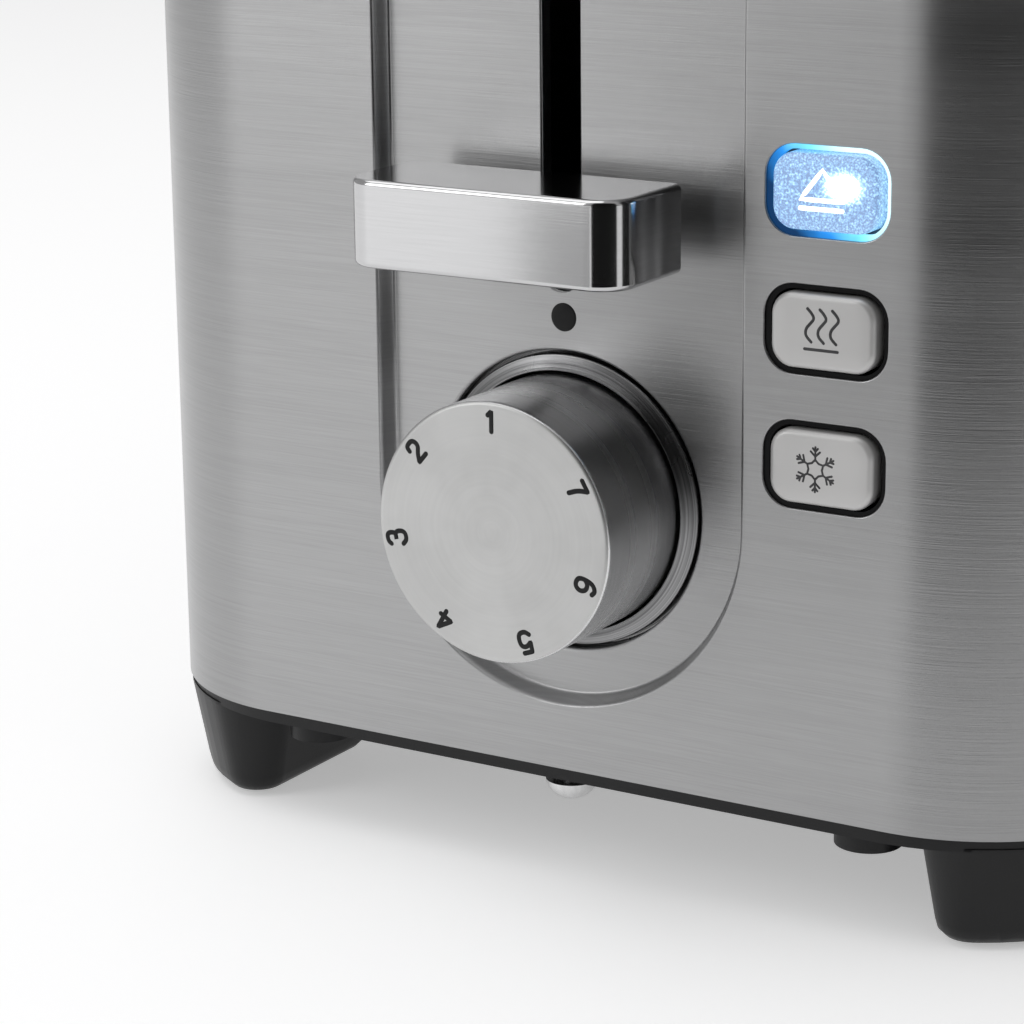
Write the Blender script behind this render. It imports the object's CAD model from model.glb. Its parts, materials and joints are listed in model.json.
import bmesh
import bpy
import json
import math
import numpy as np
from mathutils import Matrix, Vector
from mathutils.geometry import tessellate_polygon


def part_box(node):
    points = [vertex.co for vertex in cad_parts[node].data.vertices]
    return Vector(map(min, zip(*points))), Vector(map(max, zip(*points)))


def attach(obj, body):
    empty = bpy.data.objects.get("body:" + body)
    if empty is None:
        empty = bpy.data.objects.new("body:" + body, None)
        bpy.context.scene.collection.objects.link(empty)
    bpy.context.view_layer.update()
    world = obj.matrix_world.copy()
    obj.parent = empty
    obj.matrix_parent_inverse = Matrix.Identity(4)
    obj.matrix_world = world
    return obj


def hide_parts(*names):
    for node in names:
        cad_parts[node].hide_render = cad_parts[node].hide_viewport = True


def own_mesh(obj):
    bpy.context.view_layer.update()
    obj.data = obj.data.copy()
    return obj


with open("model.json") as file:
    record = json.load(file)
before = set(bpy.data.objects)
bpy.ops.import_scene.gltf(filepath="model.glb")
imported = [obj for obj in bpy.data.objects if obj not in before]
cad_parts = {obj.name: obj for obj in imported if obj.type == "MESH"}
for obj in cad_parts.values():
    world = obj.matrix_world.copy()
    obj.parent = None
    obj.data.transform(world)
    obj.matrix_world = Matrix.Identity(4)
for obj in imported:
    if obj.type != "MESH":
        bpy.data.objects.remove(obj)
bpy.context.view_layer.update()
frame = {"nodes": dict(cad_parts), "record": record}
mm = 0.001
pi = math.pi

# places that the other pieces are measured from
shellLow, shellHigh = [np.array(c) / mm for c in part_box("outer_shell")]
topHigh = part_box("top_plate")[1][2] / mm
frontY, rearY = shellLow[1], shellHigh[1]
halfWidth = shellHigh[0]
steelLow, steelHigh = shellLow[2], shellHigh[2]
dial = next(j for j in frame["record"]["behaviour"]["joints"] if j["name"] == "dial_turn")
dialZ = dial["pos_m"][2] / mm
recessDepth = 3.0
panelY = frontY + recessDepth
print("frame loaded:", len(frame["nodes"]), "nodes, dial axis at", round(dialZ, 1), "mm")


view = {"place": (0.24578, -0.53829, dialZ * mm + 0.12951), "azimuth": 31.686, "elevation": 15.247,
        "roll": -0.6375, "lens": 112.05}


def makeCamera():
    az, el, roll = [math.radians(view[k]) for k in ("azimuth", "elevation", "roll")]
    back = np.array([math.sin(az) * math.cos(el), -math.cos(az) * math.cos(el), math.sin(el)])
    flat = np.array([math.cos(az), math.sin(az), 0.0])
    upright = np.array([-math.sin(az) * math.sin(el), math.cos(az) * math.sin(el), math.cos(el)])
    right = math.cos(roll) * flat + math.sin(roll) * upright
    up = math.cos(roll) * upright - math.sin(roll) * flat
    data = bpy.data.cameras.new("camera")
    data.lens, data.sensor_width, data.clip_start = view["lens"], 36.0, 0.02
    cam = bpy.data.objects.new("camera", data)
    bpy.context.scene.collection.objects.link(cam)
    turn = np.column_stack([right, up, back, view["place"]])
    cam.matrix_world = Matrix(np.vstack([turn, [0, 0, 0, 1]]).tolist())
    bpy.context.scene.camera = cam
    bpy.context.scene.view_settings.view_transform = "Standard"  # whites stay white


makeCamera()


def gridFaces(rows, cols, wrapRows=False, wrapCols=False, start=0):
    # quads between neighbouring points of a rows x cols grid, joined round where it wraps
    r = np.arange(rows if wrapRows else rows - 1)[:, None]
    c = np.arange(cols if wrapCols else cols - 1)[None, :]
    r2, c2 = (r + 1) % rows, (c + 1) % cols
    quads = np.stack([r * cols + c, r * cols + c2, r2 * cols + c2, r2 * cols + c], axis=-1)
    return (quads.reshape(-1, 4) + start).tolist()


def roundRect(width, height, radius, inset=0.0, steps=10):
    # rounded rectangle, anticlockwise from the middle of its right side, brought in by inset
    w, h, r = width / 2 - inset, height / 2 - inset, max(radius - inset, 0.01)
    turn = np.linspace(0, pi / 2, steps)
    arc = np.column_stack([np.cos(turn), np.sin(turn)]) * r
    corners = []
    for k, (sx, sy) in enumerate([(1, 1), (-1, 1), (-1, -1), (1, -1)]):
        c, s = math.cos(k * pi / 2), math.sin(k * pi / 2)
        corners.append(arc @ np.array([[c, s], [-s, c]]) + [sx * (w - r), sy * (h - r)])
    return np.vstack(corners)


def circle(radius, steps=96):
    turn = np.arange(steps) * 2 * pi / steps
    return np.column_stack([np.cos(turn), np.sin(turn)]) * radius


def facing(shape, depth, x=0.0, z=0.0):
    # stands a flat outline up on the front: its x across, its y up, depth behind the front
    return np.column_stack([shape[:, 0] + x, np.full(len(shape), 1.0) * depth, shape[:, 1] + z])


def addPiece(name, points, faces, finish, body, replaces=(), smooth=True, angle=None):
    mesh = bpy.data.meshes.new(name)
    mesh.from_pydata((np.asarray(points) * mm).tolist(), [], faces)
    mesh.update()
    mesh.polygons.foreach_set("use_smooth", np.full(len(mesh.polygons), smooth))
    if angle:
        mesh.set_sharp_from_angle(angle=math.radians(angle))
    mesh.materials.append(finish)
    piece = bpy.data.objects.new(name, mesh)
    bpy.context.scene.collection.objects.link(piece)
    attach(piece, body)
    if replaces:
        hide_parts(*replaces)
    return piece


def carry(rings, close=True, capFirst=False, capLast=False, start=0):
    # rings: list of outlines with the same number of points, joined one to the next
    n = len(rings[0])
    faces = gridFaces(len(rings), n, wrapCols=close, start=start)
    if capFirst:
        faces.append(list(range(start + n - 1, start - 1, -1)))
    if capLast:
        last = start + (len(rings) - 1) * n
        faces.append(list(range(last, last + n)))
    return np.vstack(rings), faces


def spin(profile, centre, steps=96, axis="y", capFirst=False, capLast=False):
    # profile of (radius, distance along the axis) turned all the way round
    turn = np.arange(steps) * 2 * pi / steps
    p = np.asarray(profile, float)
    across, up = np.outer(p[:, 0], np.cos(turn)), np.outer(p[:, 0], np.sin(turn))
    along = np.repeat(p[:, 1][:, None], steps, axis=1)
    grid = np.stack([across, along, up] if axis == "y" else [across, -up, along], axis=-1)
    faces = gridFaces(len(p), steps, wrapCols=True)
    if capFirst:
        faces.append(list(range(steps - 1, -1, -1)))
    if capLast:
        faces.append(list(range((len(p) - 1) * steps, len(p) * steps)))
    return grid.reshape(-1, 3) + np.asarray(centre), faces


def roundTo(ra, a, rb, b, bulge, steps=8):
    # quarter of an ellipse from (ra, a) to (rb, b); bulge says which corner it bends round
    t = np.linspace(0, pi / 2, steps)
    if bulge == "radiusFirst":
        return np.column_stack([ra + (rb - ra) * np.sin(t), a + (b - a) * (1 - np.cos(t))])
    return np.column_stack([ra + (rb - ra) * (1 - np.cos(t)), a + (b - a) * np.sin(t)])


def curvy(points, steps=6):
    # smooth curve steered by a few points: each three neighbours give one piece of parabola
    p = np.asarray(points, float)
    p = np.vstack([p[:1], p, p[-1:]])
    t = np.linspace(0, 1, steps, endpoint=False)[None, :, None]
    a, b, c = p[:-2, None], p[1:-1, None], p[2:, None]
    path = 0.5 * ((1 - t) ** 2 * a + (1 + 2 * t - 2 * t * t) * b + t * t * c)
    path = np.vstack([path.reshape(-1, 2), p[-1:]])
    keep = np.append(True, np.linalg.norm(np.diff(path, axis=0), axis=1) > 1e-4)
    return path[keep]


def stroke(path, width, rise, closed=False):
    # low half-round bead along a flat path, with round ends, as (across, up, out) points
    p = np.asarray(path, float)
    half = np.full(len(p), width / 2)
    if closed:
        along = np.roll(p, -1, axis=0) - np.roll(p, 1, axis=0)
    else:
        ahead, behind = p[-1] - p[-2], p[0] - p[1]
        s = np.linspace(0, pi / 2, 6)[1:]
        tail = p[-1] + np.outer(np.sin(s), ahead / np.linalg.norm(ahead)) * width / 2
        head = p[0] + np.outer(np.sin(s), behind / np.linalg.norm(behind)) * width / 2
        tip = np.maximum(np.cos(s), 0.02) * width / 2
        p, half = np.vstack([head[::-1], p, tail]), np.concatenate([tip[::-1], half, tip])
        along = np.gradient(p, axis=0)
    along /= np.linalg.norm(along, axis=1)[:, None]
    side = np.column_stack([along[:, 1], -along[:, 0]])
    a = np.arange(8) * 2 * pi / 8
    flat = p[:, None, :] + side[:, None, :] * (half[:, None] * np.cos(a))[:, :, None]
    out = (half / half.max())[:, None] * np.sin(a)[None, :] * rise
    rings = np.concatenate([flat, out[:, :, None]], axis=2)
    points, faces = carry(list(rings), capFirst=not closed, capLast=not closed)
    if closed:
        faces = gridFaces(len(rings), 8, wrapRows=True, wrapCols=True)
    return points, faces


def gather(parts):
    # several (points, faces) lists as one
    points, faces, n = [], [], 0
    for p, f in parts:
        points.append(np.asarray(p))
        faces += [[i + n for i in face] for face in f]
        n += len(p)
    return np.vstack(points), faces


def onFront(points, x, z, y):
    # (across, up, out) to the frame's axes, out towards the front
    return np.column_stack([points[:, 0] + x, y - points[:, 2], points[:, 1] + z])


def newGroup(name, inputs, outputs):
    tree = bpy.data.node_groups.new(name, "ShaderNodeTree")
    for label, kind, value in inputs:
        sock = tree.interface.new_socket(label, in_out="INPUT", socket_type=kind)
        sock.default_value = value
    for label, kind in outputs:
        tree.interface.new_socket(label, in_out="OUTPUT", socket_type=kind)
    return tree, tree.nodes.new("NodeGroupInput"), tree.nodes.new("NodeGroupOutput")


def node(tree, kind, **settings):
    made = tree.nodes.new(kind)
    for key, value in settings.items():
        if key.startswith("in_"):
            made.inputs[int(key[3:])].default_value = value
        else:
            setattr(made, key, value)
    return made


def sums(tree, operation, a, b=None, c=None):
    made = tree.nodes.new("ShaderNodeMath")
    made.operation = operation
    for k, v in enumerate((a, b, c)):
        if v is None:
            continue
        if isinstance(v, (int, float)):
            made.inputs[k].default_value = v
        else:
            tree.links.new(v, made.inputs[k])
    return made.outputs[0]


def spread(tree, value, low, high, toLow=0.0, toHigh=1.0, smooth=False):
    made = tree.nodes.new("ShaderNodeMapRange")
    made.interpolation_type = "SMOOTHSTEP" if smooth else "LINEAR"
    tree.links.new(value, made.inputs[0])
    for k, v in zip((1, 2, 3, 4), (low, high, toLow, toHigh)):
        made.inputs[k].default_value = v
    return made.outputs[0]


vec, num, col = "NodeSocketVector", "NodeSocketFloat", "NodeSocketColor"


def makeBrushedGroup():
    # fine parallel lines of a brushed sheet: noise squeezed across the lines, with broad bands
    tree, gin, gout = newGroup("brushed lines", [("Vector", vec, (0, 0, 0)), ("Stretch", vec, (30, 30, 4000)),
        ("Broad", vec, (2, 2, 60)), ("Tone", num, 0.06)], [("Tone", num), ("Height", num), ("Mask", num)])
    fine = node(tree, "ShaderNodeTexNoise", in_2=1.0, in_3=3.0, in_4=0.65)
    broad = node(tree, "ShaderNodeTexNoise", in_2=1.0, in_3=2.0)
    for tex, scale in ((fine, "Stretch"), (broad, "Broad")):
        times = node(tree, "ShaderNodeVectorMath", operation="MULTIPLY")
        tree.links.new(gin.outputs["Vector"], times.inputs[0])
        tree.links.new(gin.outputs[scale], times.inputs[1])
        tree.links.new(times.outputs[0], tex.inputs["Vector"])
    lines = spread(tree, fine.outputs[0], 0.3, 0.7)
    bands = spread(tree, broad.outputs[0], 0.35, 0.65)
    both = sums(tree, "ADD", sums(tree, "MULTIPLY", lines, 0.75), sums(tree, "MULTIPLY", bands, 0.25))
    swing = sums(tree, "MULTIPLY", sums(tree, "SUBTRACT", both, 0.5), gin.outputs["Tone"])
    tree.links.new(sums(tree, "ADD", swing, 1.0), gout.inputs["Tone"])
    tree.links.new(lines, gout.inputs["Height"])
    tree.links.new(bands, gout.inputs["Mask"])
    return tree


def makeGrainGroup():
    # pebbled skin of moulded plastic, with a slow drift in tone
    tree, gin, gout = newGroup("moulded grain", [("Vector", vec, (0, 0, 0)), ("Size", num, 2500.0),
        ("Drift", num, 40.0)], [("Height", num), ("Drift", num)])
    fine = node(tree, "ShaderNodeTexNoise", in_3=2.0)
    slow = node(tree, "ShaderNodeTexNoise", in_3=3.0)
    for tex, scale in ((fine, "Size"), (slow, "Drift")):
        tree.links.new(gin.outputs["Vector"], tex.inputs["Vector"])
        tree.links.new(gin.outputs[scale], tex.inputs["Scale"])
    tree.links.new(fine.outputs[0], gout.inputs["Height"])
    tree.links.new(spread(tree, slow.outputs[0], 0.3, 0.7), gout.inputs["Drift"])
    return tree


def makeTurnedGroup():
    # circles left by turning: noise read along the distance from an axis, hardly changing round it
    tree, gin, gout = newGroup("turned rings", [("Vector", vec, (0, 0, 0)), ("Rings", num, 2600.0),
        ("Round", num, 1.0)], [("Height", num), ("Cloud", num)])
    split = node(tree, "ShaderNodeSeparateXYZ")
    tree.links.new(gin.outputs["Vector"], split.inputs[0])
    x, z = split.outputs[0], split.outputs[2]
    squares = sums(tree, "ADD", sums(tree, "MULTIPLY", x, x), sums(tree, "MULTIPLY", z, z))
    radius = sums(tree, "SQRT", squares)
    angle = sums(tree, "ARCTAN2", z, x)
    join = node(tree, "ShaderNodeCombineXYZ")
    tree.links.new(sums(tree, "MULTIPLY", radius, gin.outputs["Rings"]), join.inputs[0])
    tree.links.new(sums(tree, "MULTIPLY", sums(tree, "COSINE", angle), gin.outputs["Round"]), join.inputs[1])
    tree.links.new(sums(tree, "MULTIPLY", sums(tree, "SINE", angle), gin.outputs["Round"]), join.inputs[2])
    rings = node(tree, "ShaderNodeTexNoise", in_2=1.0, in_3=2.0)
    tree.links.new(join.outputs[0], rings.inputs["Vector"])
    cloud = node(tree, "ShaderNodeTexNoise", in_2=70.0, in_3=3.0, in_4=0.55)
    tree.links.new(gin.outputs["Vector"], cloud.inputs["Vector"])
    tree.links.new(spread(tree, rings.outputs[0], 0.3, 0.7), gout.inputs["Height"])
    tree.links.new(spread(tree, cloud.outputs[0], 0.3, 0.7, smooth=True), gout.inputs["Cloud"])
    return tree


def makeDustGroup():
    # faint specks that settle on faces which look up
    tree, gin, gout = newGroup("settled dust", [("Vector", vec, (0, 0, 0)), ("Amount", num, 0.4)],
        [("Mask", num)])
    geo = node(tree, "ShaderNodeNewGeometry")
    split = node(tree, "ShaderNodeSeparateXYZ")
    tree.links.new(geo.outputs["Normal"], split.inputs[0])
    up = spread(tree, split.outputs[2], 0.4, 1.0)
    specks = node(tree, "ShaderNodeTexNoise", in_2=1400.0, in_3=2.0)
    tree.links.new(gin.outputs["Vector"], specks.inputs["Vector"])
    dots = spread(tree, specks.outputs[0], 0.62, 0.72)
    tree.links.new(sums(tree, "MULTIPLY", sums(tree, "MULTIPLY", up, dots), gin.outputs["Amount"]),
        gout.inputs["Mask"])
    return tree


brushedLines, mouldedGrain = makeBrushedGroup(), makeGrainGroup()
turnedRings, settledDust = makeTurnedGroup(), makeDustGroup()
print("shader groups made")


def newFinish(name, base, metallic=0.0, roughness=0.5, **more):
    finish = bpy.data.materials.new(name)
    finish.use_nodes = True
    tree = finish.node_tree
    shader = tree.nodes["Principled BSDF"]
    shader.inputs["Base Color"].default_value = (*base, 1)
    shader.inputs["Metallic"].default_value = metallic
    shader.inputs["Roughness"].default_value = roughness
    for key, value in more.items():
        shader.inputs[key.replace("_", " ")].default_value = value
    coords = tree.nodes.new("ShaderNodeTexCoord").outputs["Object"]
    return finish, tree, shader, coords


def use(tree, group, coords, **values):
    made = tree.nodes.new("ShaderNodeGroup")
    made.node_tree = group
    tree.links.new(coords, made.inputs["Vector"])
    for key, value in values.items():
        made.inputs[key].default_value = value
    return made


def tint(tree, shader, value, low, high):
    # base colour between two tones by a value
    mix = node(tree, "ShaderNodeMix", data_type="RGBA")
    mix.inputs[6].default_value, mix.inputs[7].default_value = (*low, 1), (*high, 1)
    tree.links.new(value, mix.inputs[0])
    tree.links.new(mix.outputs[2], shader.inputs["Base Color"])


def bump(tree, shader, height, distance, strength=1.0):
    made = node(tree, "ShaderNodeBump")
    made.inputs["Strength"].default_value = strength
    made.inputs["Distance"].default_value = distance * mm
    tree.links.new(height, made.inputs["Height"])
    tree.links.new(made.outputs[0], shader.inputs["Normal"])


def shifted(tree, coords, x=0.0, y=0.0, z=0.0):
    # coordinates measured from a place on the object, given in millimetres
    made = node(tree, "ShaderNodeMapping")
    made.inputs["Location"].default_value = (-x * mm, -y * mm, -z * mm)
    tree.links.new(coords, made.inputs["Vector"])
    return made.outputs[0]


def brushed(name, tone, stretch, broad, roughness, contrast=0.1, lift=0.006, metallic=1.0, **more):
    finish, tree, shader, coords = newFinish(name, tone, metallic, roughness, **more)
    lines = use(tree, brushedLines, coords, Stretch=stretch, Broad=broad, Tone=contrast)
    swing = spread(tree, lines.outputs["Tone"], 1 - contrast / 2, 1 + contrast / 2)
    low, high = [tuple(v * (1 + s * contrast) for v in tone) for s in (-0.5, 0.5)]
    tint(tree, shader, swing, low, high)
    rough = spread(tree, lines.outputs["Mask"], 0, 1, roughness * 0.93, roughness * 1.07)
    tree.links.new(rough, shader.inputs["Roughness"])
    bump(tree, shader, lines.outputs["Height"], lift)
    return finish


def moulded(name, low, high, roughness, lift=0.02, size=2500.0, dust=0.0, **more):
    finish, tree, shader, coords = newFinish(name, low, 0.0, roughness, **more)
    grain = use(tree, mouldedGrain, coords, Size=size)
    value = grain.outputs["Drift"]
    if dust:
        specks = use(tree, settledDust, coords, Amount=dust)
        value = sums(tree, "MAXIMUM", sums(tree, "MULTIPLY", value, 0.4), specks.outputs["Mask"])
    tint(tree, shader, value, low, high)
    rough = spread(tree, grain.outputs["Drift"], 0, 1, roughness * 0.9, roughness * 1.1)
    tree.links.new(rough, shader.inputs["Roughness"])
    bump(tree, shader, grain.outputs["Height"], lift)
    return finish


steelTone = (0.355, 0.355, 0.357)
finishes = {
    "brushed_steel": brushed("brushed steel", steelTone, (60, 60, 5200), (5, 5, 120), 0.30,
        contrast=0.17, lift=0.010, Anisotropic=0.7, Anisotropic_Rotation=0.25),
    "top_steel": brushed("brushed steel top", steelTone, (4200, 28, 28), (90, 3, 3), 0.34,
        contrast=0.16, lift=0.010, Anisotropic=0.5),
    "black_plastic": moulded("black plastic", (0.005, 0.005, 0.0055), (0.014, 0.014, 0.0145), 0.42,
        dust=0.25, **{"Specular IOR Level": 0.3}),
    "rubber": moulded("rubber", (0.012, 0.012, 0.012), (0.028, 0.028, 0.027), 0.85, lift=0.05, size=1500.0),
    "bright_steel": brushed("bright steel", (0.66, 0.66, 0.66), (900, 900, 90), (60, 60, 20), 0.22,
        contrast=0.2),
    "clear_plastic": moulded("clear plastic", (0.55, 0.68, 0.76), (0.72, 0.84, 0.90), 0.15, lift=0.004),
    "silver_plastic": moulded("silver plastic", (0.50, 0.495, 0.49), (0.56, 0.555, 0.55), 0.42, lift=0.006,
        size=6000.0, Metallic=0.55),
    "zinc_sheet": brushed("zinc sheet", (0.42, 0.43, 0.44), (60, 400, 400), (25, 60, 60), 0.40, contrast=0.3),
    "dark_plastic": moulded("dark plastic", (0.03, 0.03, 0.033), (0.06, 0.06, 0.064), 0.5),
    "magnet_iron": brushed("laminated iron", (0.18, 0.18, 0.185), (3000, 60, 60), (300, 20, 20), 0.5,
        contrast=0.5),
    "copper_wire": brushed("enamelled copper", (0.52, 0.22, 0.10), (60, 60, 3600), (20, 20, 300), 0.3,
        contrast=0.4, lift=0.05),
    "board_green": moulded("solder mask", (0.02, 0.12, 0.045), (0.03, 0.18, 0.07), 0.3, lift=0.004),
    "mica": brushed("mica sheet", (0.46, 0.40, 0.28), (200, 200, 200), (40, 40, 40), 0.35, contrast=0.45,
        metallic=0.1),
    "heater_alloy": brushed("oxidised ribbon", (0.16, 0.12, 0.10), (300, 60, 2500), (60, 30, 200), 0.5,
        contrast=0.4, metallic=0.8),
    "white_plastic": moulded("white plastic", (0.60, 0.59, 0.55), (0.70, 0.69, 0.65), 0.45),
    "wire_cover": moulded("wire cover", (0.16, 0.07, 0.03), (0.22, 0.10, 0.045), 0.5, lift=0.03),
}
print("finishes made")


# lengths in millimetres; heights of the slot are above the dial's axis
shell = {"cornerRadius": 35.0, "flatHalf": 56.9, "sheet": 0.55, "hem": 0.6, "tongueRadius": 32.0,
         "tongueTop": topHigh - 15.0, "tongueCorner": 3.0, "stepOut": 0.9, "stepIn": 1.1,
         "slotWidth": 6.6, "slotShift": -0.3, "slotLow": 33.4, "slotHigh": 105.1, "slotRoll": 0.45,
         "slotLip": 2.6, "dialHole": 24.0, "holeRoll": 0.6, "wall": 1.1, "buttonRoll": 0.25,
         "trayHalf": 53.0, "trayHigh": steelLow + 11.8, "inletRadius": 5.83}
button = {"width": 16.9, "height": 11.3, "radius": 3.4, "holeWidth": 19.9, "holeHeight": 13.5,
          "holeRadius": 4.7, "shift": -0.15, "edge": 0.95, "crown": 0.12, "flangeLap": 1.2,
          "depth": 9.2, "proud": 1.15, "iconWidth": 0.55, "iconRise": 0.03}
buttonPlaces = {}
for name in ("cancel", "reheat", "defrost"):
    low, high = [np.array(c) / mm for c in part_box(name + "_button")]
    buttonPlaces[name] = ((low[0] + high[0]) / 2 + button["shift"], (low[2] + high[2]) / 2)


def tongue(inset):
    # outline of the recess: a half circle below, straight sides, small corners at the top
    r, top, c = shell["tongueRadius"], shell["tongueTop"], shell["tongueCorner"]
    turn = np.linspace(0, pi / 2, 8)
    small = np.column_stack([np.cos(turn), np.sin(turn)]) * (c - inset)
    below = np.linspace(pi, 2 * pi, 97)
    bowl = np.column_stack([np.cos(below), np.sin(below)]) * (r - inset) + [0, dialZ]
    return np.vstack([small + [r - c, top - c], small[::-1] * [-1, 1] + [c - r, top - c], bowl])


def leverSlot(inset):
    low, high = dialZ + shell["slotLow"], dialZ + shell["slotHigh"]
    flat = roundRect(shell["slotWidth"], high - low, shell["slotWidth"] / 2 - 0.01, inset)
    return flat + [shell["slotShift"], (low + high) / 2]


def buttonHole(place):
    def outline(inset):
        return roundRect(button["holeWidth"], button["holeHeight"], button["holeRadius"], inset) + place
    return outline


def edgeProfile(roll, wall, steps=7):
    # sheet rolled into a hole: quarter circle from the face, then straight in; (outset, depth)
    t = np.linspace(0, pi / 2, steps)
    curve = np.column_stack([roll * (1 - np.sin(t)), roll * (1 - np.cos(t))])
    return np.vstack([curve, [0, wall]])


def stepProfile(depth, steps=15):
    # soft step of a pressed recess: eased from the face down to the floor; (outset, depth)
    t = np.linspace(0, 1, steps)
    ease = t * t * t * (t * (6 * t - 15) + 10)
    return np.column_stack([shell["stepOut"] - (shell["stepOut"] + shell["stepIn"]) * t, depth * ease])


def along(outline, profile, floorY):
    rings = []
    for outset, depth in profile:
        flat = outline(-outset)
        rings.append(facing(flat, floorY + depth))
    return carry(rings)


def sheetWithHoles(outer, holes, floorY):
    # flat sheet between an outline and its holes
    flat = np.vstack([outer] + holes)
    lists = [[(float(a), float(b), 0.0) for a, b in ring] for ring in [outer] + holes]
    faces = [list(t) for t in tessellate_polygon(lists)]
    return facing(flat, floorY), faces


def sideWrap(sign):
    # one side of the body with its two round corners, between the flat sheets at front and rear
    # corner: x = flat + (half - flat) * sin t, y = r * (1 - cos t), so it leaves each flat smoothly
    r, flat = shell["cornerRadius"], shell["flatHalf"]
    turn = np.linspace(0, pi / 2, 40)
    x = flat + (halfWidth - flat) * np.sin(turn)
    front = np.column_stack([x, frontY + r - r * np.cos(turn)])
    rear = np.column_stack([x, rearY - r + r * np.cos(turn)])[::-1]
    plan = np.vstack([front, rear])
    heights = [steelLow, steelLow + shell["hem"], steelHigh - shell["hem"], steelHigh]
    rings = [np.column_stack([sign * plan[:, 0], plan[:, 1], np.full(len(plan), z)]) for z in heights]
    return carry(rings, close=False)


def makeShell():
    half, hemLow, hemHigh = shell["flatHalf"], steelLow + shell["hem"], steelHigh - shell["hem"]
    # outline above the bottom edge, shared by front and rear so that they meet the sides point to point
    upper = [(half, steelLow), (half, hemLow), (half, hemHigh), (half, steelHigh), (-half, steelHigh),
             (-half, hemHigh), (-half, hemLow)]
    outer = np.array([(-half, steelLow)] + upper)
    holeEdge = edgeProfile(shell["holeRoll"], shell["wall"])
    slotEdge = edgeProfile(shell["slotRoll"], shell["slotLip"])
    step = stepProfile(recessDepth)
    parts = [sideWrap(1), sideWrap(-1)]
    holes = [tongue(-shell["stepOut"])]
    parts.append(along(tongue, step, frontY))
    buttonEdge = edgeProfile(shell["buttonRoll"], shell["wall"])
    for place in buttonPlaces.values():
        parts.append(along(buttonHole(place), buttonEdge, frontY))
        holes.append(buttonHole(place)(-shell["buttonRoll"]))
    parts.append(sheetWithHoles(outer, holes, frontY))
    dialHole = lambda inset: circle(shell["dialHole"] - inset) + [0, dialZ]
    parts.append(along(dialHole, holeEdge, panelY))
    parts.append(along(leverSlot, slotEdge, panelY))
    parts.append(sheetWithHoles(tongue(shell["stepIn"]),
        [dialHole(-shell["holeRoll"]), leverSlot(-shell["slotRoll"])], panelY))
    t, high = shell["trayHalf"], shell["trayHigh"]
    rear = np.array([(-half, steelLow), (-t, steelLow), (-t, high), (t, high), (t, steelLow)] + upper)
    low, high = [np.array(c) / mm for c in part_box("cord_gland")]
    x, z, r = (low[0] + high[0]) / 2, (low[2] + high[2]) / 2, shell["inletRadius"]
    parts.append(sheetWithHoles(rear, [circle(r) + [x, z]], rearY))
    points, faces = gather(parts)
    piece = addPiece("steel_shell", points, faces, finishes["brushed_steel"], "housing",
        replaces=("outer_shell",))
    tidy(piece, outward=True)
    thicken = piece.modifiers.new("sheet", "SOLIDIFY")
    thicken.thickness, thicken.offset = shell["sheet"] * mm, -1
    flatShade(piece, 50)
    return piece


def tidy(piece, outward=False, near=0.002):
    # joins points that meet, turns every face outwards
    bm = bmesh.new()
    bm.from_mesh(piece.data)
    bmesh.ops.remove_doubles(bm, verts=bm.verts, dist=near * mm)
    bmesh.ops.dissolve_degenerate(bm, edges=bm.edges, dist=near * mm * 0.5)
    bmesh.ops.recalc_face_normals(bm, faces=bm.faces)
    if outward:  # an open sheet: its faces should look away from its middle
        bm.faces.ensure_lookup_table()
        middle = sum((v.co for v in bm.verts), Vector()) / len(bm.verts)
        facing = sum(f.calc_area() * f.normal.dot(f.calc_center_median() - middle) for f in bm.faces)
        if facing < 0:
            bmesh.ops.reverse_faces(bm, faces=bm.faces)
    bm.to_mesh(piece.data)
    bm.free()


def flatShade(piece, angle):
    # large flat faces keep their own direction beside small rounded edges
    split = piece.modifiers.new("crease", "EDGE_SPLIT")
    split.split_angle = math.radians(angle)
    even = piece.modifiers.new("even", "WEIGHTED_NORMAL")
    even.keep_sharp = True


makeShell()
print("steel shell made")


knob = {"radius": 20.4, "face": -146.1, "back": -120.9, "edge": 0.7, "wall": 1.8, "faceThick": 2.4,
        "hub": 6.0, "shaft": 3.05, "figureRing": 17.4, "figureSize": 3.1, "figureWidth": 0.78,
        "firstAngle": 90, "angleStep": 50}
ring = {"inner": 20.85, "outer": 23.4, "top": 0.3, "rise": 1.2, "edge": 0.4, "floor": 3.0, "lap": 27.5,
        "tube": 7.0}
dot = {"radius": 2.25, "rise": 0.12, "above": 29.3}


def knobFaceFinish():
    finish, tree, shader, coords = newFinish("satin dial face", (0.62, 0.62, 0.615), 1.0, 0.42)
    centred = shifted(tree, coords, z=dialZ)
    turned = use(tree, turnedRings, centred, Rings=1800.0, Round=0.6)
    cloud = sums(tree, "ADD", sums(tree, "MULTIPLY", turned.outputs["Cloud"], 0.8),
        sums(tree, "MULTIPLY", turned.outputs["Height"], 0.2))
    tint(tree, shader, cloud, (0.48, 0.48, 0.476), (0.58, 0.58, 0.575))
    tree.links.new(spread(tree, turned.outputs["Cloud"], 0, 1, 0.38, 0.46), shader.inputs["Roughness"])
    bump(tree, shader, turned.outputs["Height"], 0.004)
    return finish


def ringFinish():
    finish, tree, shader, coords = newFinish("turned ring", (0.5, 0.5, 0.5), 1.0, 0.3)
    turned = use(tree, turnedRings, shifted(tree, coords, z=dialZ), Rings=5200.0, Round=0.4)
    tint(tree, shader, turned.outputs["Height"], (0.13, 0.13, 0.133), (0.36, 0.36, 0.363))
    tree.links.new(spread(tree, turned.outputs["Cloud"], 0, 1, 0.24, 0.34), shader.inputs["Roughness"])
    bump(tree, shader, turned.outputs["Height"], 0.02)
    return finish


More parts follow.
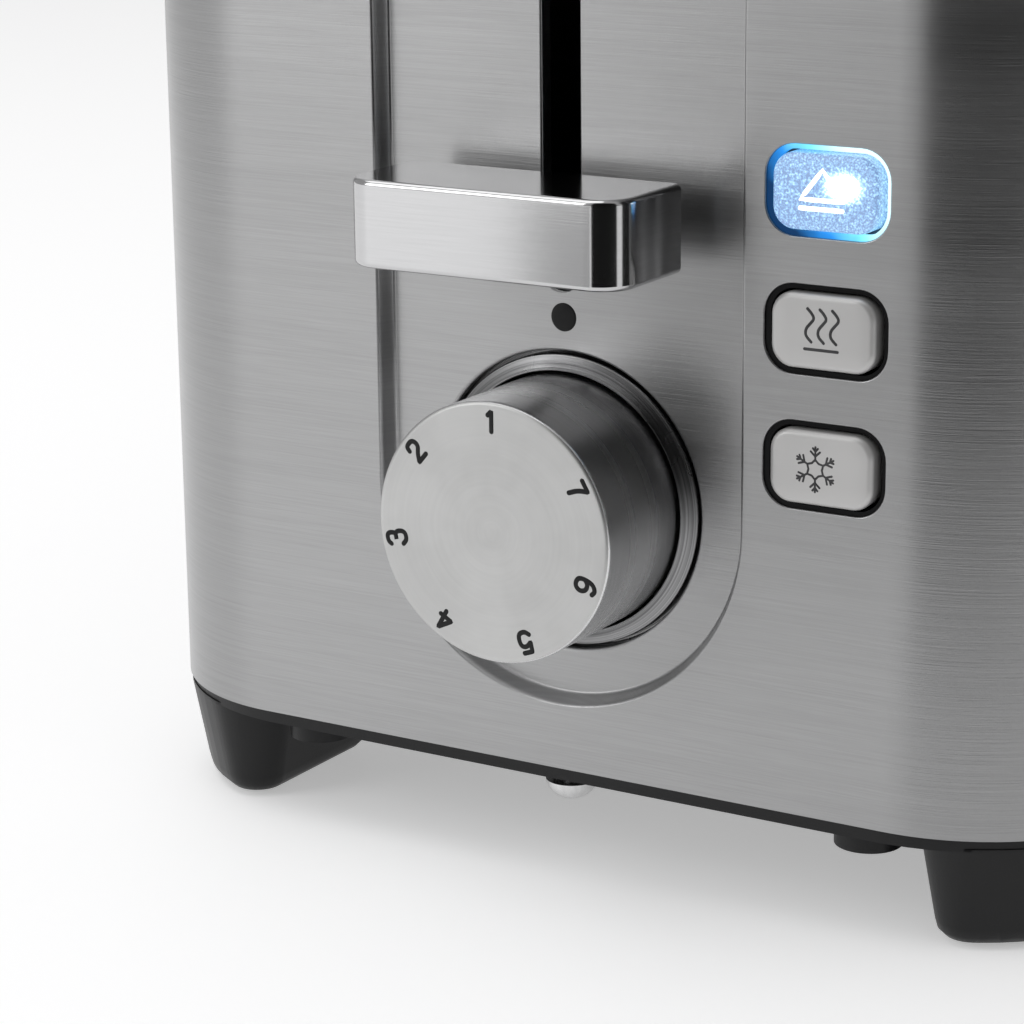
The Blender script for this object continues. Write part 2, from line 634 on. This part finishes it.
def inkFinish(name, low, high, rough=0.35):
    finish, tree, shader, coords = newFinish(name, low, 0.0, rough)
    shader.inputs["Specular IOR Level"].default_value = 0.2
    grain = use(tree, mouldedGrain, coords, Size=9000.0, Drift=300.0)
    tint(tree, shader, grain.outputs["Drift"], low, high)
    bump(tree, shader, grain.outputs["Height"], 0.004)
    return finish


finishes["knob_side"] = brushed("polished dial side", (0.78, 0.78, 0.785), (30, 5200, 30), (6, 500, 6), 0.26,
    contrast=0.25, lift=0.012)
finishes["knob_metal"] = knobFaceFinish()
finishes["bezel_metal"] = ringFinish()
finishes["ink"] = inkFinish("black ink", (0.006, 0.006, 0.007), (0.014, 0.014, 0.014))


def makeKnob():
    k = knob
    r, e = k["radius"], k["edge"]
    corner = roundTo(r - e, k["face"], r, k["face"] + e, "radiusFirst", 7)
    profile = np.vstack([[(0.0, k["face"]), (r - e - 0.3, k["face"])], corner,
        [(r, k["back"] - 0.4), (r - 0.4, k["back"]), (r - k["wall"], k["back"]),
         (r - k["wall"], k["face"] + k["faceThick"]), (k["hub"], k["face"] + k["faceThick"]),
         (k["hub"], k["back"] - 1.6), (k["shaft"], k["back"] - 1.6),
         (k["shaft"], k["face"] + 2 * k["faceThick"]),
         (0.0, k["face"] + 2 * k["faceThick"])]])
    points, faces = spin(profile, (0, 0, dialZ), steps=128)
    piece = addPiece("dial_body", points, faces, finishes["knob_metal"], "dial",
        replaces=("dial_knob",))
    piece.data.materials.append(finishes["knob_side"])
    tidy(piece)
    count = len(piece.data.polygons)
    centres = np.empty(count * 3)
    piece.data.polygons.foreach_get("center", centres)
    side = centres.reshape(-1, 3)[:, 1] > (k["face"] + 0.15) * mm
    piece.data.polygons.foreach_set("material_index", side.astype(int))
    flatShade(piece, 40)


# control points of each figure, half a unit above and below its middle; a doubled point makes a corner
figures = {
    1: [[(-0.13, 0.3), (0.07, 0.5), (0.07, 0.5), (0.07, -0.5)]],
    2: [[(-0.28, 0.25), (-0.24, 0.54), (0.26, 0.54), (0.34, 0.12), (0.0, -0.12), (-0.28, -0.48),
         (-0.28, -0.48), (0.32, -0.48)]],
    3: [[(-0.27, 0.38), (-0.12, 0.55), (0.3, 0.54), (0.3, 0.04), (-0.06, 0.04), (-0.06, 0.04), (0.36, 0.05),
         (0.35, -0.52), (-0.1, -0.58), (-0.3, -0.34)]],
    4: [[(0.15, -0.5), (0.15, 0.48), (0.15, 0.48), (-0.33, -0.2), (-0.33, -0.2), (0.35, -0.2)]],
    5: [[(0.26, 0.48), (-0.2, 0.48), (-0.2, 0.48), (-0.26, 0.02), (-0.26, 0.02), (0.06, 0.22), (0.36, 0.08),
         (0.32, -0.5), (-0.08, -0.58), (-0.3, -0.38)]],
    6: [[(0.22, 0.46), (-0.02, 0.58), (-0.32, 0.3), (-0.32, -0.3), (-0.18, -0.54), (0.2, -0.54), (0.36, -0.2),
         (0.16, 0.1), (-0.16, 0.08), (-0.3, -0.12)]],
    7: [[(-0.3, 0.48), (0.3, 0.48), (0.3, 0.48), (0.02, 0.02), (-0.08, -0.5)]],
}


def makeFigures():
    parts = []
    for number, lines in figures.items():
        angle = math.radians(knob["firstAngle"] + knob["angleStep"] * (number - 1))
        turn = angle - pi / 2
        spinBy = np.array([[math.cos(turn), math.sin(turn)], [-math.sin(turn), math.cos(turn)]])
        centre = knob["figureRing"] * np.array([math.cos(angle), math.sin(angle)])
        for line in lines:
            path = curvy(np.array(line)) * knob["figureSize"] @ spinBy + centre
            points, faces = stroke(path, knob["figureWidth"], 0.03)
            parts.append((onFront(points, 0, dialZ, knob["face"]), faces))
    points, faces = gather(parts)
    piece = addPiece("dial_figures", points, faces, finishes["ink"], "dial")
    tidy(piece)


def makeRingAndDot():
    g = ring
    top = panelY + g["top"]
    outer = roundTo(g["outer"] - g["edge"], top, g["outer"], top + g["edge"], "radiusFirst", 6)
    inner = roundTo(g["inner"] + 0.3, top - g["rise"], g["inner"], top - g["rise"] + 0.3, "radiusFirst", 5)
    profile = np.vstack([inner[::-1], outer,
        [(g["outer"], panelY + g["floor"]), (g["lap"], panelY + g["floor"]),
        (g["lap"], panelY + g["floor"] + 1), (g["inner"] + 1, panelY + g["floor"] + 1),
        (g["inner"] + 1, panelY + g["tube"]), (g["inner"], panelY + g["tube"]),
        (g["inner"], top - g["rise"] + 0.3)]])
    points, faces = spin(profile, (0, 0, dialZ), steps=128)
    tidy(addPiece("dial_ring", points, faces, finishes["bezel_metal"], "housing",
        replaces=("knob_bezel",), angle=40))
    r = dot["radius"]
    domed = [(0, panelY - dot["rise"]), (r * 0.8, panelY - dot["rise"] * 0.8),
             (r * 0.96, panelY - dot["rise"] * 0.4), (r, panelY), (r, panelY + 0.1), (0, panelY + 0.1)]
    points, faces = spin(domed, (0, 0, dialZ + dot["above"]), steps=48)
    tidy(addPiece("dial_mark", points, faces, finishes["ink"], "housing"))


makeKnob()
makeFigures()
makeRingAndDot()
print("dial made")


lever = {"frontRadius": 5.7, "rearRadius": 1.4, "edge": 0.9}


def makeLever():
    low, high = [np.array(c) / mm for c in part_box("lever_handle")]
    midX, midY = (low[0] + high[0]) / 2, (low[1] + high[1]) / 2
    w, d = (high[0] - low[0]) / 2, (high[1] - low[1]) / 2

    def plan(inset):
        # seen from above, anticlockwise: rear corners small, front corners large
        out = []
        for k, (sx, sy, r) in enumerate([(1, 1, lever["rearRadius"]), (-1, 1, lever["rearRadius"]),
                (-1, -1, lever["frontRadius"]), (1, -1, lever["frontRadius"])]):
            turn = np.linspace(0, pi / 2, 12) + k * pi / 2
            arc = np.column_stack([np.cos(turn), np.sin(turn)]) * (r - inset)
            out.append(arc + [sx * (w - r), sy * (d - r)])
        return np.vstack(out) + [midX, midY]

    e = lever["edge"]
    t = np.linspace(0, pi / 2, 7)
    lowEdge = np.column_stack([e * (1 - np.sin(t)), low[2] + e * (1 - np.cos(t))])
    highEdge = np.column_stack([e * (1 - np.cos(t)), high[2] - e * (1 - np.sin(t))])
    rings = []
    for inset, z in np.vstack([lowEdge, highEdge]):
        flat = plan(inset)
        rings.append(np.column_stack([flat, np.full(len(flat), z)]))
    points, faces = carry(rings, capFirst=True, capLast=True)
    piece = addPiece("lever_bar", points, faces, finishes["chromed_lever"], "carriage",
        replaces=("lever_handle",))
    tidy(piece)
    flatShade(piece, 60)


finishes["chromed_lever"] = brushed("polished lever", (0.55, 0.55, 0.555), (60, 60, 3000), (10, 10, 60), 0.13,
    contrast=0.10, lift=0.003)
makeLever()
print("lever made")


def litFinish():
    # face lit from behind: pale blue, hottest beside the triangle, with fine sparkles
    x, z = buttonPlaces["cancel"]
    finish, tree, shader, coords = newFinish("lit button", (0.30, 0.36, 0.46), 0.0, 0.3)
    shader.inputs["Emission Strength"].default_value = 1.0
    here = shifted(tree, coords, x + 3.1, frontY, z + 1.1)
    split = node(tree, "ShaderNodeSeparateXYZ")
    tree.links.new(here, split.inputs[0])
    tall = sums(tree, "MULTIPLY", split.outputs[2], 1.4)
    far = sums(tree, "SQRT", sums(tree, "ADD", sums(tree, "MULTIPLY", split.outputs[0], split.outputs[0]),
        sums(tree, "MULTIPLY", tall, tall)))
    heat = spread(tree, far, 0.0016, 0.0044, 1.0, 0.0, smooth=True)
    sparkle = node(tree, "ShaderNodeTexNoise", in_2=3200.0, in_3=1.0)
    tree.links.new(coords, sparkle.inputs["Vector"])
    glint = spread(tree, sparkle.outputs[0], 0.40, 0.72, 0.0, 0.62)
    level = sums(tree, "MINIMUM", sums(tree, "ADD", heat, glint), 1.0)
    ramp = node(tree, "ShaderNodeValToRGB")
    stops = [(0.0, (0.04, 0.13, 0.34, 1)), (0.35, (0.16, 0.38, 0.66, 1)), (0.7, (0.50, 0.85, 1.0, 1)),
             (1.0, (1.2, 1.3, 1.3, 1))]
    ramp.color_ramp.elements[0].color, ramp.color_ramp.elements[1].color = stops[0][1], stops[3][1]
    for place, tone in stops[1:3]:
        ramp.color_ramp.elements.new(place).color = tone
    tree.links.new(level, ramp.inputs[0])
    tree.links.new(ramp.outputs[0], shader.inputs["Emission Color"])
    return finish


def guideFinish():
    # clear frame: bright blue round the lit button, dark round the others
    x, z = buttonPlaces["cancel"]
    finish, tree, shader, coords = newFinish("light guide", (0.002, 0.002, 0.0025), 0.0, 0.4)
    shader.inputs["Specular IOR Level"].default_value = 0.15
    shader.inputs["Emission Strength"].default_value = 1.3
    split = node(tree, "ShaderNodeSeparateXYZ")
    tree.links.new(shifted(tree, coords, x, frontY, z), split.inputs[0])
    across, up = split.outputs[0], split.outputs[2]
    near = spread(tree, sums(tree, "ABSOLUTE", up), 0.0085, 0.0095, 1.0, 0.0)
    bright = sums(tree, "ADD", sums(tree, "MULTIPLY", across, 60.0), sums(tree, "MULTIPLY", up, 40.0))
    drift = node(tree, "ShaderNodeTexNoise", in_2=260.0, in_3=2.0)
    tree.links.new(coords, drift.inputs["Vector"])
    level = sums(tree, "ADD", sums(tree, "ADD", bright, 0.42), sums(tree, "MULTIPLY", drift.outputs[0], 0.25))
    ramp = node(tree, "ShaderNodeValToRGB")
    ramp.color_ramp.elements[0].color = (0.002, 0.03, 0.10, 1)
    ramp.color_ramp.elements[1].color = (0.75, 1.0, 1.0, 1)
    for place, tone in [(0.3, (0.02, 0.25, 0.75, 1)), (0.6, (0.2, 0.75, 1.0, 1))]:
        ramp.color_ramp.elements.new(place).color = tone
    tree.links.new(level, ramp.inputs[0])
    mix = node(tree, "ShaderNodeMix", data_type="RGBA")
    mix.inputs[6].default_value = (0, 0, 0, 1)
    tree.links.new(near, mix.inputs[0])
    tree.links.new(ramp.outputs[0], mix.inputs[7])
    tree.links.new(mix.outputs[2], shader.inputs["Emission Color"])
    return finish


def glowInk():
    finish, tree, shader, coords = newFinish("lit sign", (0.8, 0.9, 1.0), 0.0, 0.3)
    shader.inputs["Emission Strength"].default_value = 1.3
    grain = use(tree, mouldedGrain, coords, Size=6000.0, Drift=400.0)
    mix = node(tree, "ShaderNodeMix", data_type="RGBA")
    mix.inputs[6].default_value, mix.inputs[7].default_value = (0.85, 0.93, 1.0, 1), (1.0, 1.0, 1.0, 1)
    tree.links.new(grain.outputs["Drift"], mix.inputs[0])
    tree.links.new(mix.outputs[2], shader.inputs["Emission Color"])
    return finish


finishes["lit_button"], finishes["light_guide"], finishes["lit_sign"] = litFinish(), guideFinish(), glowInk()
finishes["sign_ink"] = inkFinish("grey ink", (0.035, 0.035, 0.037), (0.06, 0.06, 0.062))


def makeButton(name, finish):
    b, (x, z) = button, buttonPlaces[name]
    e, front = b["edge"], frontY - b["proud"]
    t = np.linspace(0, pi / 2, 8)
    face = [(3.4, front - b["crown"]), (2.4, front - b["crown"] * 0.9), (1.6, front - b["crown"] * 0.55)]
    edge = np.column_stack([e * (1 - np.sin(t)), front + e * (1 - np.cos(t))])
    back = frontY + b["depth"]
    body = [(0.0, back), (-b["flangeLap"], back), (-b["flangeLap"], back + 1.0), (2.0, back + 1.0)]
    rings = [facing(roundRect(b["width"], b["height"], b["radius"], inset), y, x, z)
             for inset, y in np.vstack([face, edge, body])]
    parts = [carry(rings, capFirst=True, capLast=True)]
    stem = [(0.0, back + 0.9), (2.0, back + 0.9), (2.0, back + 2.2), (0.0, back + 2.2)]
    parts.append(spin(stem, (x, 0, z), steps=24))
    points, faces = gather(parts)
    piece = addPiece(name + "_key", points, faces, finish, name, replaces=(name + "_button",))
    tidy(piece)
    flatShade(piece, 50)


def makeSign(name, lines, finish, width=1.0):
    # lines: list of (points, closed, curved) in millimetres from the middle of the button
    x, z = buttonPlaces[name]
    parts = []
    for path, closed, curved in lines:
        path = curvy(path) if curved else np.array(path, float)
        points, faces = stroke(path, button["iconWidth"] * width, button["iconRise"], closed)
        parts.append((onFront(points, x, z, frontY - button["proud"] - button["crown"]), faces))
    points, faces = gather(parts)
    tidy(addPiece(name + "_sign", points, faces, finish, name))


def straight(a, b, steps=6):
    return np.linspace(a, b, steps).tolist()


def heatWave(x):
    # one wavy line of rising heat, from the top down
    return [(x - 0.3, 3.5), (x + 0.35, 2.9), (x + 0.85, 2.1), (x + 0.15, 1.3), (x - 0.55, 0.5),
            (x - 0.6, -0.5), (x + 0.35, -1.4)]


def snowLines():
    lines, centre = [], np.array([-0.7, 0.0])
    for k in range(6):
        c, s = math.cos(k * pi / 3 + pi / 2), math.sin(k * pi / 3 + pi / 2)
        turn = np.array([[c, s], [-s, c]])
        arm = [[(1.5, 0), (3.4, 0)], [(2.0, 0), (2.7, 0.75)], [(2.0, 0), (2.7, -0.75)],
               [(0.95, 0.55), (1.5, 0)], [(0.95, -0.55), (1.5, 0)], [(2.75, 0), (3.2, 0.4)],
               [(2.75, 0), (3.2, -0.4)]]
        lines += [(np.array(straight(*part)) @ turn + centre, False, False) for part in arm]
    return lines


def makeButtons():
    makeButton("cancel", finishes["lit_button"])
    makeButton("reheat", finishes["silver_plastic"])
    makeButton("defrost", finishes["silver_plastic"])
    left, right, apex = (-3.7, -1.0), (3.2, -1.0), (-0.2, 3.4)
    triangle = straight(left, apex) + straight(apex, right)[1:] + straight(right, left)[1:-1]
    makeSign("cancel", [(triangle, True, False), (straight((-3.7, -2.3), (3.0, -2.3)), False, False)],
        finishes["lit_sign"], 1.3)
    waves = [(heatWave(x), False, True) for x in (-2.0, 0.0, 2.0)]
    bar = (straight((-2.7, -2.5), (2.6, -2.5)), False, False)
    makeSign("reheat", waves + [bar], finishes["sign_ink"], 0.85)
    makeSign("defrost", snowLines(), finishes["sign_ink"], 0.62)


makeButtons()
print("buttons made")


screw = {"head": 3.1, "dome": 1.9, "shank": 1.45, "length": 7.0, "bossX": 51.0, "bossIn": 7.6, "seat": 3.0,
         "frontHead": 4.2, "frontDome": 3.4, "frontSeat": 3.0, "frontIn": 4.6}


def screwShape(head, dome, place):
    # domed head below, radius = head * sin t and height = -dome * cos t, then the shank up into the base
    t = np.linspace(0, pi / 2, 9)
    bowl = np.column_stack([head * np.sin(t), -dome * np.cos(t)])
    shank = [(screw["shank"], 0.0), (screw["shank"], screw["length"]), (0.0, screw["length"])]
    return spin(np.vstack([bowl, shank]), place, steps=40, axis="z")


def makeScrews():
    low, high = [np.array(c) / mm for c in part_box("base_screws")]
    z, x, frontBoss = steelLow - screw["seat"], screw["bossX"], frontY + screw["bossIn"]
    rearX, rearBoss = high[0] - screw["head"], high[1] - screw["head"]
    parts = [screwShape(screw["frontHead"], screw["frontDome"],
        (0.0, frontY + screw["frontIn"], steelLow - screw["frontSeat"]))]
    for place in [(-x, frontBoss), (x, frontBoss), (-rearX, rearBoss), (rearX, rearBoss)]:
        parts.append(screwShape(screw["head"], screw["dome"], (*place, z)))
    points, faces = gather(parts)
    tidy(addPiece("dome_screws", points, faces, finishes["bright_steel"], "housing",
        replaces=("base_screws",), angle=45))


makeScrews()


spring = {"turns": 34, "wire": 0.5, "radius": 3.0, "perTurn": 16, "lift": 52.0}


def makeSpring():
    # wire along a helix: a small circle carried round, square to the path
    low, high = [np.array(c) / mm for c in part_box("carriage_spring")]
    w = spring["wire"]
    t = np.linspace(0, 1, spring["turns"] * spring["perTurn"] + 1)
    a = 2 * pi * spring["turns"] * t
    x, y = (low[0] + high[0]) / 2, (low[1] + high[1]) / 2
    rise = (high[2] - low[2] - 2 * w) / (2 * pi * spring["turns"])
    r = spring["radius"]
    path = np.column_stack([x + r * np.cos(a), y + r * np.sin(a), low[2] + w + rise * a])
    outward = np.column_stack([np.cos(a), np.sin(a), np.zeros(len(a))])
    ahead = np.column_stack([-r * np.sin(a), r * np.cos(a), np.full(len(a), rise)])
    ahead /= np.linalg.norm(ahead, axis=1)[:, None]
    up = np.cross(outward, ahead)
    b = np.arange(8) * 2 * pi / 8
    across, over = np.cos(b)[None, :, None], np.sin(b)[None, :, None]
    rings = path[:, None] + w * (across * outward[:, None] + over * up[:, None])
    points, faces = carry(list(rings), capFirst=True, capLast=True)
    piece = addPiece("lift_spring", points, faces, finishes["bright_steel"], "housing",
        replaces=("carriage_spring",))
    tidy(piece)
    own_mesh(piece)


makeSpring()
print("screws and spring made")


def softenEdges(name, width, angle=35):
    # rounds the sharp edges of a CAD node that shows
    piece = frame["nodes"][name]
    weld = piece.modifiers.new("weld", "WELD")
    weld.merge_threshold = 0.005 * mm
    soft = piece.modifiers.new("soft", "BEVEL")
    soft.width, soft.segments, soft.limit_method = width * mm, 3, "ANGLE"
    soft.angle_limit = math.radians(angle)
    soft.use_clamp_overlap = True
    soft.harden_normals = False
    even = piece.modifiers.new("even", "WEIGHTED_NORMAL")
    even.keep_sharp = False


def dressNodes():
    slots = {s["node"]: s["material_slot"] for s in frame["record"]["subparts"]}
    special = {"top_plate": "top_steel", "light_guide": "light_guide"}
    for name, piece in frame["nodes"].items():
        finish = finishes.get(special.get(name, slots[name]), finishes["zinc_sheet"])
        if not piece.data.materials:
            piece.data.materials.append(finish)
        for place in piece.material_slots:
            place.material = finish


dressNodes()
softenEdges("base_tray", 0.5)
softenEdges("tray_pull", 0.7)
softenEdges("cord_gland", 0.4)
print("CAD pieces dressed")


def stageFinish(name, tone):
    finish, tree, shader, coords = newFinish(name, tone, 0.0, 0.55)
    grain = use(tree, mouldedGrain, coords, Size=30.0, Drift=0.8)
    tint(tree, shader, grain.outputs["Drift"], tuple(v * 0.98 for v in tone), tone)
    return finish


def plane(name, corners, finish):
    mesh = bpy.data.meshes.new(name)
    mesh.from_pydata(corners, [], [(0, 1, 2, 3)])
    mesh.materials.append(finish)
    piece = bpy.data.objects.new(name, mesh)
    bpy.context.scene.collection.objects.link(piece)
    return piece


# each card: name, its two ends on the floor, height and tone (metres)
studio = {"flags": [("dark flag front", (0.005, -0.39), (0.38, -0.26), 0.5, 0.005),
                    ("dark flag right", (0.30, -0.15), (0.26, 0.09), 0.45, 0.01),
                    ("grey flag", (-0.095, -0.32), (-0.01, -0.36), 0.085, 0.33)],
          "floorHalf": 6.0, "floorTone": (0.90, 0.90, 0.905), "floorGlow": 0.39, "world": 0.42,
          "topPower": 8, "frontPower": 4.5}


def card(name, corners, tone):
    # a plain sheet that only reflections see: a dark one darkens what mirrors it, a grey one softens it
    finish = bpy.data.materials.new(name)
    finish.use_nodes = True
    shader = finish.node_tree.nodes["Principled BSDF"]
    shader.inputs["Base Color"].default_value = (*[min(tone, 1)] * 3, 1)
    shader.inputs["Roughness"].default_value = 1.0
    shader.inputs["Specular IOR Level"].default_value = 0.0
    shader.inputs["Emission Color"].default_value = (1, 1, 1, 1)
    shader.inputs["Emission Strength"].default_value = tone
    piece = plane(name, corners, finish)
    piece.visible_camera = piece.visible_diffuse = piece.visible_shadow = piece.visible_transmission = False
    return piece


def softbox(name, place, aim, size, power):
    data = bpy.data.lights.new(name, "AREA")
    data.shape, data.size, data.size_y, data.energy = "RECTANGLE", size[0], size[1], power
    lamp = bpy.data.objects.new(name, data)
    bpy.context.scene.collection.objects.link(lamp)
    back = Vector(place) - Vector(aim)
    lamp.matrix_world = Matrix.Translation(place) @ back.to_track_quat("Z", "Y").to_matrix().to_4x4()
    return lamp


def makeStudio():
    f = studio["floorHalf"]
    pale = stageFinish("pale floor", studio["floorTone"])
    shader = pale.node_tree.nodes["Principled BSDF"]
    shader.inputs["Emission Color"].default_value = (1, 1, 1, 1)
    shader.inputs["Emission Strength"].default_value = studio["floorGlow"]  # a table lit from below
    plane("floor", [(-f, -f, 0), (f, -f, 0), (f, f, 0), (-f, f, 0)], pale)
    world = bpy.data.worlds.new("studio")
    world.use_nodes = True
    world.node_tree.nodes["Background"].inputs[0].default_value = (1, 1, 1, 1)
    world.node_tree.nodes["Background"].inputs[1].default_value = studio["world"]
    bpy.context.scene.world = world
    softbox("top box", (-0.5, -0.3, 1.6), (0, 0, 0.1), (1.6, 1.2), studio["topPower"])
    softbox("front box", (-0.9, -1.2, 0.7), (0, -0.1, 0.1), (0.7, 0.9), studio["frontPower"])
    for name, first, last, high, tone in studio["flags"]:
        card(name, [(*first, 0.001), (*last, 0.001), (*last, high), (*first, high)], tone)


makeStudio()
print("studio made")
